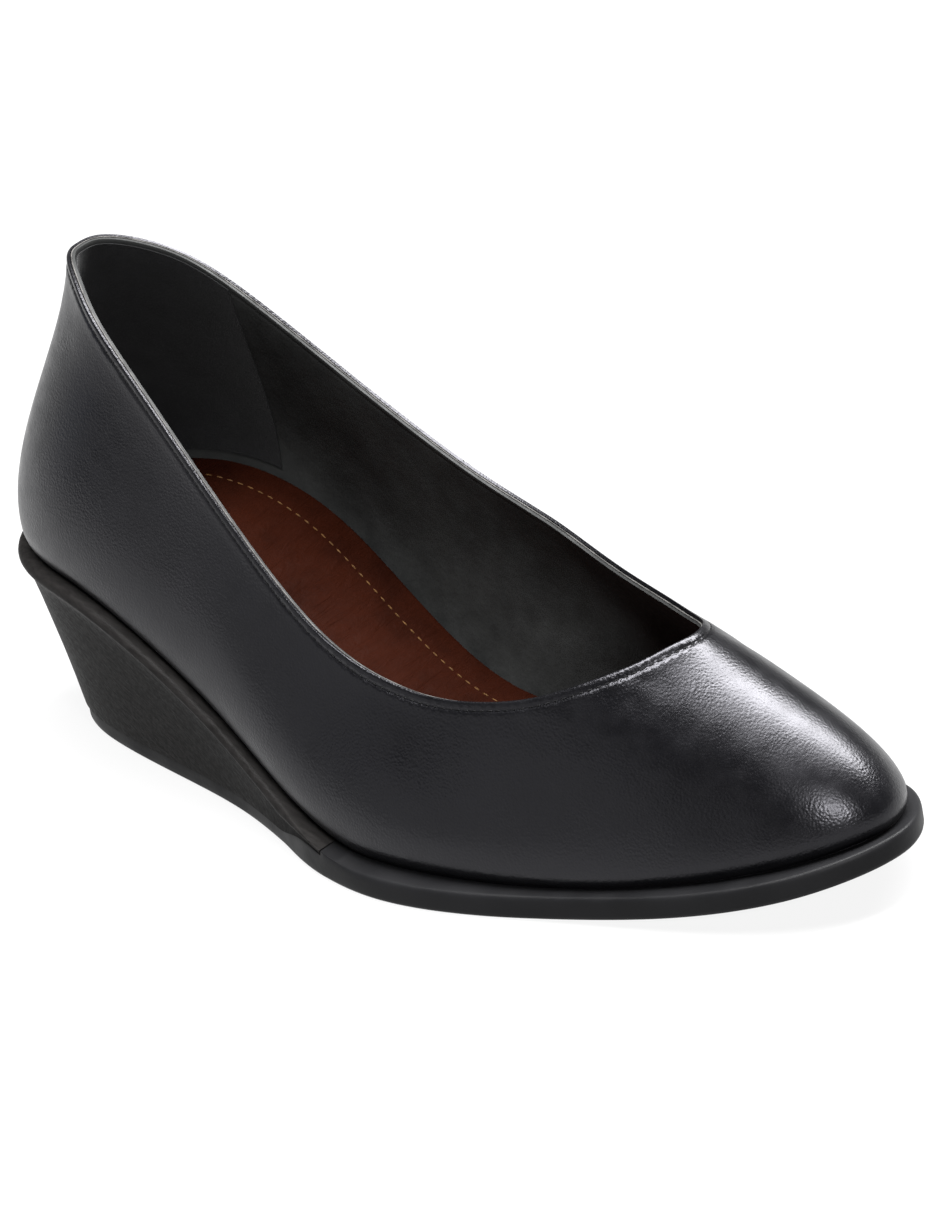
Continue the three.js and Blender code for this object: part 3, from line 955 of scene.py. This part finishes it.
@dataclass
class Upper:
    """The leather upper with its lining, cut edge, nap, seam and stitches, in millimetres.

    The seam and the front of the heel's nap are section numbers, and so are the seam's widths.
    """

    last: Last
    leather: float = 0.85
    backing: float = 0.25
    wall: float = 2.0
    edge_rounding: float = 0.22
    edge_reach: float = 0.5
    channel_depth: float = 0.2
    channel_width: float = 0.42
    roll_height: float = 0.05
    roll_below: float = 1.1
    roll_width: float = 0.7
    foot_tuck: float = 1.2
    foot_reach: float = 4.5
    band_low: float = 0.97
    band_high: float = 1.24
    band_depth: float = 0.8
    lining_start: float = 1.28
    lining_drop: float = 0.2
    lining_rounding: float = 0.12
    lining_dent: float = 0.12
    stations_per_section: int = 12
    flank_rings: int = 30
    seam: float = 21.7
    seam_depth: float = 0.28
    seam_width: float = 0.012
    seam_lip: float = 0.12
    seam_lip_aside: float = 0.05
    seam_lip_width: float = 0.03
    grip_front: float = 18.45
    grip_top: float = 1.2
    grip_foot: float = 4.2
    grip_thickness: float = 0.35
    stitch_down: float = 2.0
    stitch_pitch: float = 2.1

    CREASES = (
        Crease((3.5, 0.9), (2.55, 0.72), 0.3, 1.5),
        Crease((2.95, 0.94), (1.95, 0.74), 0.26, 1.4),
        Crease((2.3, 0.95), (1.3, 0.79), 0.2, 1.5),
        Crease((4.3, 0.87), (3.1, 0.68), 0.18, 1.8),
        Crease((28.4, 0.9), (27.6, 0.62), 0.22, 2.0),
    )
    SEAM_STATIONS = (-0.09, -0.05, -0.025, -0.01, 0, 0.01, 0.025, 0.05, 0.09)

    # Millimetres down from the topline, close together at the edge and at the stitches.
    COLLAR_RINGS = (0, 0.15, 0.45, 0.9, 1.3, 1.55, 1.8, 2, 2.2, 2.45, 2.75, 3.2, 4, 5.5, 8.5, 13)
    LINING_RINGS = (0.5, 1.1, 1.5, 1.75, 2, 2.25, 2.5, 3.2, 6, 12)

    # Millimetres up from the upper's foot.
    FOOT_RINGS = (2.4, 1.6, 1.0, 0.5, 0.0)

    def __post_init__(self) -> None:
        """Chooses the stations, closer together beside the side seam."""
        even = np.arange(0, self.last.sections, 1 / self.stations_per_section)
        beside = self.seam + np.array(self.SEAM_STATIONS)
        away = even[np.abs(even - self.seam) > 0.1]
        self.numbers = np.sort(np.concatenate([away, beside]))
        self.skin = UpperWall(self.last, self.numbers)
        top = self.skin.points(0, 0)
        runs = np.linalg.norm(np.roll(top, -1, axis=0) - top, axis=1)
        self.along = np.concatenate([[0], np.cumsum(runs)])

    def relief(self, down: float | np.ndarray, points: np.ndarray) -> np.ndarray:
        """Returns how far the leather's outside draws in at each station.

        Args:
            down: The distance down from the topline, for all the stations or for each.
            points: The undented points there.

        Returns:
            Distances into the wall.
        """
        up = self.skin.length - down
        aside = np.abs(self.numbers - self.seam)
        below = down - self.stitch_down
        rounding = self.edge_rounding * np.clip(1 - down / self.edge_reach, 0, 1) ** 2
        channel = self.channel_depth * hump(below, self.channel_width)
        roll = self.roll_height * hump(below - self.roll_below, self.roll_width)
        foot = self.foot_tuck * np.clip(1 - up / self.foot_reach, 0, 1) ** 2
        seam = self.seam_depth * hump(aside, self.seam_width)
        lip = self.seam_lip * hump(aside - self.seam_lip_aside, self.seam_lip_width)
        creases = sum(crease.sink(self.last, points) for crease in self.CREASES)
        return rounding + channel - roll + foot + seam - lip + creases

    def outer_rings(self) -> list[float | np.ndarray]:
        """Returns how far down each of the outside's rings lies, from the topline to the foot."""
        start = self.COLLAR_RINGS[-1]
        length = self.skin.length
        foot = self.FOOT_RINGS[0]
        shares = np.linspace(0, 1, self.flank_rings)[1:-1]
        middle = [start + (length - foot - start) * share for share in shares]
        return [*self.COLLAR_RINGS, *middle, *(length - up for up in self.FOOT_RINGS)]

    def make_leather(self) -> bpy.types.Object:
        """Makes the outer leather."""
        columns = []
        marks = []
        for down in self.outer_rings():
            plain = self.skin.points(down, 0)
            columns.append(self.skin.points(down, self.relief(down, plain)))
            marks.append(float(np.mean(down)))
        back = self.leather + self.backing
        shares = (1.0, 0.9, 0.7, 0.5, 0.3, 0.12, 0.04)
        inside = [(self.skin.length * share, back) for share in shares]
        inside.extend([(0.5, self.leather), (0.1, self.leather - 0.1)])
        columns.extend(self.skin.points(down, into) for down, into in inside)
        marks.extend([marks[-1] + self.wall] * len(inside))
        sweep = self.swept(columns)
        sweep.write_map(self.along * MILLIMETRE, np.array(marks) * MILLIMETRE)
        sweep.weld()
        return finish_mesh(sweep.bm, "upper_leather")

    def swept(self, columns: list[np.ndarray]) -> Sweep:
        """Sweeps rings of columns all the way round the last."""
        rings = self.last.place(np.stack(columns, axis=1))
        return sweep_stations(np.concatenate([rings, rings[:1]]))

    def make_lining(self) -> bpy.types.Object:
        """Makes the lining against the foot."""
        length = self.skin.length
        columns = [self.skin.points(self.lining_drop, self.wall - self.lining_rounding)]
        for down in self.LINING_RINGS:
            stitched = self.lining_dent * hump(down - self.stitch_down, 0.5)
            columns.append(self.skin.points(down, self.wall - stitched))
        start = self.LINING_RINGS[-1]
        for share in np.linspace(0, 1, 22)[1:]:
            columns.append(self.skin.points(start + (length - start) * share, self.wall))
        for share in (1.0, 0.8, 0.55, 0.3, 0.12):
            columns.append(self.skin.points(length * share, self.lining_start + 0.05))
        columns.append(self.skin.points(self.lining_drop, self.lining_start))
        sweep = self.swept(columns)
        sweep.weld()
        return finish_mesh(sweep.bm, "upper_lining")

    def make_cut_edge(self) -> bpy.types.Object:
        """Makes the pale line of cut leather between the two layers at the topline, its paleness
        partly a painted highlight.
        """
        corner = 0.08
        places = (
            (self.band_low, self.band_depth),
            (self.band_low, 0.05),
            (self.band_low + corner, -0.04),
            (self.band_high - corner, -0.04),
            (self.band_high, 0.05),
            (self.band_high, self.band_depth),
        )
        sweep = self.swept([self.skin.points(down, into) for into, down in places])
        sweep.weld()
        return finish_mesh(sweep.bm, "collar_edge")

    def make_heel_grip(self) -> bpy.types.Object:
        """Makes the napped piece of lining round the heel."""
        front = self.grip_front
        back = self.last.sections - front
        even = np.arange(math.ceil(back * 8) / 8, front, 1 / 8)
        skin = UpperWall(self.last, np.concatenate([[back], even, [front]]))
        drop = skin.length - self.grip_top - self.grip_foot
        face = [(share, self.wall + self.grip_thickness) for share in np.linspace(0, 1, 22)]
        rear = [(share, self.wall + 0.05) for share in np.linspace(1, 0, 10)]
        columns = [skin.points(self.grip_top + drop * share, into) for share, into in face + rear]
        rings = self.last.place(np.stack(columns, axis=1))
        sweep = sweep_stations(rings)
        sweep.close_ends()
        return finish_mesh(sweep.bm, "heel_lining")

    def make_collar_stitches(self) -> bpy.types.Object:
        """Makes the row of stitches below the topline."""
        line = self.skin.points(self.stitch_down, 0.17)
        out = self.last.normal(self.numbers, self.skin.up(self.stitch_down))
        pitch = self.stitch_pitch * MILLIMETRE
        stitch = Stitch(length=0.7 * pitch, width=0.0004, height=0.00032, pitch=pitch)
        return sew("collar_stitches", self.last.place(line), out, stitch)

    def build(self) -> list[bpy.types.Object]:
        """Makes and dresses the upper's pieces."""
        leather = self.make_leather()
        finish = UpperLeather(self.stitch_down * MILLIMETRE, self.stitch_pitch * MILLIMETRE)
        dress(leather, finish.material())
        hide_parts("upper")
        lining = self.make_lining()
        dress(lining, LiningLeather().material())
        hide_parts("upper")
        edge = self.make_cut_edge()
        dress(edge, CutEdgeAndGlint().material())
        grip = self.make_heel_grip()
        dress(grip, HeelGrip().material())
        stitches = self.make_collar_stitches()
        dress(stitches, BLACK_THREAD.material())
        return [leather, lining, edge, grip, stitches]


@dataclass(frozen=True)
class Stitch:
    """The size of one stitch and how far it is to the next, in metres."""

    length: float
    width: float
    height: float
    pitch: float


def sew(name: str, line: np.ndarray, out: np.ndarray, stitch: Stitch) -> bpy.types.Object:
    """Sews a row of stitches along a closed line.

    Args:
        name: The row's name.
        line: The points of the line, in metres.
        out: The way the surface faces at each point.
        stitch: The stitch's size.

    Returns:
        One object with all the stitches.
    """
    closed = np.concatenate([line, line[:1]])
    facing = np.concatenate([out, out[:1]])
    runs = np.linalg.norm(np.diff(closed, axis=0), axis=1)
    along = np.concatenate([[0], np.cumsum(runs)])
    count = round(along[-1] / stitch.pitch)
    bm = bmesh.new()
    for i in range(count):
        at = along[-1] * (i + 0.5) / count
        ends = (at - stitch.length / 2, at + stitch.length / 2)
        start, middle, end = (
            np.array([np.interp(place, along, closed[:, axis]) for axis in range(3)])
            for place in (ends[0], at, ends[1])
        )
        up = unit(np.array([np.interp(at, along, facing[:, axis]) for axis in range(3)]))
        forward = unit(end - start)
        aside = unit(np.cross(up, forward))
        up = np.cross(forward, aside)
        turn = Matrix((forward, aside, up)).transposed().to_4x4()
        size = Matrix.Diagonal((stitch.length / 2, stitch.width / 2, stitch.height / 2, 1))
        place = Matrix.Translation(Vector(middle)) @ turn @ size
        stand = Matrix.Rotation(math.pi / 2, 4, "Y")
        bmesh.ops.create_uvsphere(
            bm, u_segments=6, v_segments=5, radius=1, matrix=place @ stand
        )
    return finish_mesh(bm, name, sharp=80)


def dress(piece: bpy.types.Object, material: bpy.types.Material) -> None:
    """Gives a piece its material and the body it rides on."""
    piece.data.materials.clear()
    piece.data.materials.append(material)
    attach(piece, "root")


@dataclass
class Bottom:
    """What the insole, wedge and outsole share: stations from toe to heel, in millimetres."""

    last: Last
    stations_per_section: int = 10
    across: int = 12

    def stations(self, start: float = 0.0) -> np.ndarray:
        """Returns section numbers from a start to the heel."""
        heel = self.last.sections / 2
        even = np.arange(0, heel + 1e-9, 1 / self.stations_per_section)
        return np.concatenate([[start], even[even > start + 0.02]])

    def ring(self, sides: list[tuple[np.ndarray, np.ndarray]]) -> np.ndarray:
        """Builds closed rings from matching profiles down both sides.

        Args:
            sides: For each level from the top down, the points on the outer and inner side.

        Returns:
            The rings: across the top, down the inner side, back across, up the outer side.
        """
        top_outer, top_inner = sides[0]
        low_outer, low_inner = sides[-1]
        columns = []
        for share in np.linspace(0, 1, self.across + 1)[:-1]:
            columns.append(top_outer + (top_inner - top_outer) * share)
        columns.extend(inner for _, inner in sides[:-1])
        for share in np.linspace(0, 1, self.across + 1)[:-1]:
            columns.append(low_inner + (low_outer - low_inner) * share)
        columns.extend(outer for outer, _ in reversed(sides[1:]))
        return np.stack(columns, axis=1)

    def flats(self, levels: int) -> tuple[slice, slice]:
        """Returns where a ring of so many levels has its top and its underside."""
        start = self.across + levels - 1
        return slice(0, self.across), slice(start, start + self.across)

    def mirrored(self, numbers: np.ndarray) -> np.ndarray:
        """Returns the same stations' numbers on the inner side."""
        return self.last.sections - numbers


@dataclass
class Insole(Bottom):
    """The leather insole on the seat."""

    thickness: float = 2.8
    inward: float = 2.3
    rounding: float = 0.8
    stitch_inset: float = 7.5

    def level(self, numbers: np.ndarray, height: float, inset: float) -> tuple[np.ndarray, ...]:
        """Returns the points of both sides at a height over the seat."""
        sides = []
        for side in (numbers, self.mirrored(numbers)):
            points = self.last.edge(side, -self.inward - inset)
            points[:, 2] += height
            sides.append(points)
        return tuple(sides)

    def make_insole(self) -> bpy.types.Object:
        """Makes the insole."""
        numbers = self.stations()
        top = self.thickness
        r = self.rounding
        sides = [
            self.level(numbers, top, r),
            self.level(numbers, top - 0.12 * r, 0.4 * r),
            self.level(numbers, top - 0.5 * r, 0.08 * r),
            self.level(numbers, top - r, 0),
            self.level(numbers, 0, 0),
        ]
        rings = self.ring(sides)
        face, under = self.flats(len(sides))
        rings[:, face, 2] = self.last.profile.seat_height(rings[:, face, 0]) + top
        rings[:, under, 2] = self.last.profile.seat_height(rings[:, under, 0])
        sweep = sweep_stations(self.last.place(rings))
        sweep.weld()
        return finish_mesh(sweep.bm, "insole_leather")

    def make_stitches(self) -> bpy.types.Object:
        """Makes the row of stitches inside the insole's edge."""
        numbers = np.arange(0, self.last.sections, 1 / 8)
        line = self.last.edge(numbers, -self.inward - self.stitch_inset)
        line[:, 2] += self.thickness + 0.02
        slope = self.last.profile.seat_height(line[:, 0] + 1)
        slope = slope - self.last.profile.seat_height(line[:, 0])
        out = unit(np.stack([-slope, np.zeros_like(slope), np.ones_like(slope)], axis=1))
        stitch = Stitch(length=0.0016, width=0.00042, height=0.0004, pitch=0.0027)
        return sew("insole_stitches", self.last.place(line), out, stitch)

    def build(self) -> list[bpy.types.Object]:
        """Makes and dresses the insole and its stitches."""
        insole = self.make_insole()
        dress(insole, InsoleLeather().material())
        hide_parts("insole")
        stitches = self.make_stitches()
        dress(stitches, GOLDEN_THREAD.material())
        return [insole, stitches]


@dataclass
class Wedge(Bottom):
    """The leather-covered wedge with its rounded rim.

    It reaches on, in section numbers, past the place where the outsole turns thin.
    """

    lip: float = 2.6
    rim: float = 3.2
    slant: float = 0.23
    reach_on: float = 0.014

    # Each level's share of the rim, share of the side below it and millimetres drawn in.
    LEVELS = (
        (0.0, 0.0, 1.5),
        (0.06, 0.0, 0.95),
        (0.16, 0.0, 0.5),
        (0.3, 0.0, 0.18),
        (0.46, 0.0, 0.02),
        (0.6, 0.0, 0.03),
        (0.75, 0.0, 0.22),
        (0.88, 0.0, 0.55),
        (1.0, 0.0, 0.98),
        (1.0, 0.04, 1.25),
        (1.0, 0.1, 1.4),
        (1.0, 0.2, 1.4),
        (1.0, 0.4, 1.2),
        (1.0, 0.6, 0.95),
        (1.0, 0.8, 0.55),
        (1.0, 1.0, 0.0),
    )

    def level(
        self, numbers: np.ndarray, rim: float, down: float, inward: float
    ) -> tuple[np.ndarray, ...]:
        """Returns both sides' points at one level of the wedge.

        Args:
            numbers: The stations' section numbers on the outer side.
            rim: The level's share of the rim's height.
            down: Its share of the side below the rim.
            inward: How far it draws in, in millimetres.

        Returns:
            The points of the outer and of the inner side.
        """
        profile = self.last.profile
        sides = []
        for side in (numbers, self.mirrored(numbers)):
            height = profile.wedge_height(self.last.edge(side)[:, 0])
            rim_height = np.minimum(self.rim, height / 2)
            drop = rim_height * rim + (height - rim_height * rim) * down
            soften = np.minimum(1, height / (2 * self.rim))
            slant = self.slant * np.maximum(0, drop - rim_height)
            lip = self.lip * self.last.welt(side)
            points = self.last.edge(side, lip - slant - inward * soften)
            top = profile.seat_height(points[:, 0]) - GAP
            low = profile.tread_top(points[:, 0]) + GAP
            points[:, 2] = top + (low - top) * drop / height
            sides.append(points)
        return tuple(sides)

    def make_wedge(self) -> bpy.types.Object:
        """Makes the wedge."""
        profile = self.last.profile
        front = self.last.number_at(profile.wedge_front * profile.length)
        numbers = self.stations(front - self.reach_on)
        sides = [self.level(numbers, *level) for level in self.LEVELS]
        rings = self.ring(sides)
        top, low = self.flats(len(sides))
        rings[:, top, 2] = profile.seat_height(rings[:, top, 0]) - GAP
        rings[:, low, 2] = profile.tread_top(rings[:, low, 0]) + GAP
        sweep = sweep_stations(self.last.place(rings))
        # The map's second coordinate marks the rim, where the wedge leather paints its highlight.
        on_rim = [float(down == 0) for _, down, _ in self.LEVELS]
        rim_highlight_mask = np.zeros(rings.shape[1])
        rim_highlight_mask[top] = 1
        rim_highlight_mask[top.stop : low.start] = on_rim[:-1]
        rim_highlight_mask[low.stop :] = on_rim[:0:-1]
        sweep.write_map(np.arange(len(numbers), dtype=float), rim_highlight_mask)
        bmesh.ops.contextual_create(sweep.bm, geom=sweep.first_edges)
        sweep.weld()
        return finish_mesh(sweep.bm, "wedge_cover", sharp=50)

    def build(self) -> list[bpy.types.Object]:
        """Makes and dresses the wedge."""
        wedge = self.make_wedge()
        dress(wedge, WedgeLeather().material())
        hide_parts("wedge")
        return [wedge]


@dataclass
class Outsole(Bottom):
    """The rubber outsole.

    The joint is where it turns thin under the wedge. Its reach and steps are section numbers,
    and its rounding is the share of the top edge's rounding that is left there.
    """

    welt: float = 2.7
    slant: float = 0.23
    joint_rounding: float = 0.15
    joint_reach: float = 1.2
    joint_step: float = 0.018
    joint_clear: float = 0.03

    # Each level's share of the way down the edge and millimetres drawn in.
    LEVELS = (
        (0.0, 1.0),
        (0.03, 0.6),
        (0.1, 0.26),
        (0.2, 0.08),
        (0.32, 0.0),
        (0.55, 0.0),
        (0.8, 0.0),
        (0.9, 0.18),
        (0.97, 0.5),
        (1.0, 0.9),
    )

    def make_outsole(self) -> bpy.types.Object:
        """Makes the outsole, thin under the wedge and full in the forefoot."""
        profile = self.last.profile
        front = self.last.number_at(profile.wedge_front * profile.length)
        ahead = front - self.joint_step
        even = self.stations()
        before = even[even < ahead - self.joint_clear]
        after = even[even > front + self.joint_clear]
        numbers = np.concatenate([before, [ahead - self.joint_step, ahead], after])
        thin = np.arange(len(numbers)) > len(before)
        plain = 1 - ease(numbers, ahead - self.joint_reach, ahead)
        rounding = self.joint_rounding + (1 - self.joint_rounding) * plain
        sides = [self.level(numbers, thin, rounding, *level) for level in self.LEVELS]
        rings = self.ring(sides)
        top, low = self.flats(len(sides))
        rings[:, top, 2] = self.top_height(rings[:, top, 0], thin[:, None])
        rings[:, low, 2] = profile.tread_height(rings[:, low, 0])
        sweep = sweep_stations(self.last.place(rings))
        sweep.weld()
        return finish_mesh(sweep.bm, "outsole_rubber", sharp=50)

    def top_height(self, x: np.ndarray, thin: np.ndarray) -> np.ndarray:
        """Returns the outsole's top, thin under the wedge and full elsewhere."""
        profile = self.last.profile
        return np.where(thin, profile.tread_top(x), profile.seat_height(x) - GAP)

    def level(
        self,
        numbers: np.ndarray,
        thin: np.ndarray,
        rounding: np.ndarray,
        down: float,
        inward: float,
    ) -> tuple[np.ndarray, ...]:
        """Returns both sides' points at one level of the outsole's edge.

        Args:
            numbers: The stations' section numbers on the outer side.
            thin: Which stations lie under the wedge.
            rounding: How much of the top edge's rounding each station has.
            down: The level's share of the way down.
            inward: How far it draws in, in millimetres.

        Returns:
            The points of the outer and of the inner side.
        """
        profile = self.last.profile
        sides = []
        for side in (numbers, self.mirrored(numbers)):
            height = profile.wedge_height(self.last.edge(side)[:, 0])
            spread = self.welt * self.last.welt(side) - self.slant * height
            drawn = inward * rounding if down < 0.5 else inward
            points = self.last.edge(side, spread - drawn)
            top = self.top_height(points[:, 0], thin)
            low = profile.tread_height(points[:, 0])
            points[:, 2] = top + (low - top) * down
            sides.append(points)
        return tuple(sides)

    def build(self) -> list[bpy.types.Object]:
        """Makes and dresses the outsole."""
        outsole = self.make_outsole()
        dress(outsole, SoleRubber().material())
        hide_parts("outsole")
        return [outsole]


def direction(azimuth: float, elevation: float) -> Vector:
    """Returns the way from the shoe at an azimuth from its outer side and an elevation."""
    a = math.radians(azimuth)
    e = math.radians(elevation)
    return Vector((math.sin(a) * math.cos(e), -math.cos(a) * math.cos(e), math.sin(e)))


@dataclass(frozen=True)
class PhotoCamera:
    """The camera at the photo's angle to the shoe, in degrees, metres and photo pixels."""

    azimuth: float = 45.6
    elevation: float = 27.0
    roll: float = -10.0
    distance: float = 3.0
    pixels_per_metre: float = 4565.0
    target: tuple[float, float, float] = (0.0082, 0.0029, 0.045)
    lift_pixels: float = 12.5
    photo_height: float = 1215.0
    sensor: float = 36.0

    def build(self) -> bpy.types.Object:
        """Makes the camera and gives it to the scene."""
        a = math.radians(self.azimuth)
        r = math.radians(self.roll)
        back = direction(self.azimuth, self.elevation)
        level = Vector((math.cos(a), math.sin(a), 0))
        upright = back.cross(level)
        right = level * math.cos(r) + upright * math.sin(r)
        up = upright * math.cos(r) - level * math.sin(r)
        data = bpy.data.cameras.new("photo camera")
        data.sensor_width = self.sensor
        pixels = self.pixels_per_metre * self.distance
        data.lens = self.sensor * pixels / self.photo_height
        data.clip_start = 0.1
        data.clip_end = 50
        camera = bpy.data.objects.new("photo camera", data)
        bpy.context.scene.collection.objects.link(camera)
        target = Vector(self.target) + up * (self.lift_pixels / self.pixels_per_metre)
        turn = Matrix((right, up, back)).transposed().to_4x4()
        camera.matrix_world = Matrix.Translation(target + back * self.distance) @ turn
        bpy.context.scene.camera = camera
        return camera


@dataclass(frozen=True)
class SoftBox:
    """A rectangular studio light that faces the shoe, in degrees, metres and watts."""

    name: str
    azimuth: float
    elevation: float
    distance: float
    width: float
    height: float
    power: float
    colour: tuple[float, float, float] = (1.0, 1.0, 1.0)
    aim: tuple[float, float, float] = (0.0, 0.0, 0.04)

    def build(self) -> bpy.types.Object:
        """Makes the light."""
        way = direction(self.azimuth, self.elevation)
        data = bpy.data.lights.new(self.name, "AREA")
        data.shape = "RECTANGLE"
        data.size = self.width
        data.size_y = self.height
        data.energy = self.power
        data.color = self.colour
        light = bpy.data.objects.new(self.name, data)
        light.location = way * self.distance + Vector(self.aim)
        light.rotation_mode = "QUATERNION"
        light.rotation_quaternion = way.to_track_quat("Z", "Y")
        bpy.context.scene.collection.objects.link(light)
        return light


@dataclass(frozen=True)
class Studio:
    """The pale floor, the soft lights and the faint sky."""

    floor_size: float = 12.0
    sky: float = 0.06

    LIGHTS = (
        SoftBox("key", 163, 74, 1.5, 0.62, 2.7, 194),
        SoftBox("toe window", 62, 27, 2.0, 0.28, 0.3, 26),
        SoftBox("near side", -18, 13, 2.4, 2.4, 0.9, 5.5),
        SoftBox("heel side", -66, 10, 2.4, 0.7, 0.8, 1.0, (0.7, 0.78, 1.0)),
        SoftBox("heel rim", -134, 27, 2.2, 0.5, 0.5, 1.5),
    )

    def build(self) -> None:
        """Makes the floor, the lights and the sky light."""
        bm = bmesh.new()
        bmesh.ops.create_grid(bm, x_segments=2, y_segments=2, size=self.floor_size / 2)
        mesh = bpy.data.meshes.new("floor")
        bm.to_mesh(mesh)
        bm.free()
        floor = bpy.data.objects.new("floor", mesh)
        floor.data.materials.append(PaleFloor().material())
        bpy.context.scene.collection.objects.link(floor)
        for light in self.LIGHTS:
            light.build()
        world = bpy.data.worlds.new("studio")
        world.use_nodes = True
        background = world.node_tree.nodes["Background"]
        background.inputs["Color"].default_value = (1, 1, 1, 1)
        background.inputs["Strength"].default_value = self.sky
        bpy.context.scene.world = world
        bpy.context.scene.view_settings.view_transform = "Standard"


def main() -> None:
    """Builds the shoe, the studio and the camera."""
    logging.basicConfig(level=logging.INFO, format="%(name)s: %(message)s")
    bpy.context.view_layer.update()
    last = Last(SoleProfile())
    insole = Insole(last)
    last.seat_on("insole", insole.inward)
    pieces = Upper(last).build() + insole.build() + Wedge(last).build() + Outsole(last).build()
    log.info("%d pieces", len(pieces))
    PhotoCamera().build()
    Studio().build()


if __name__ == "__main__":
    main()
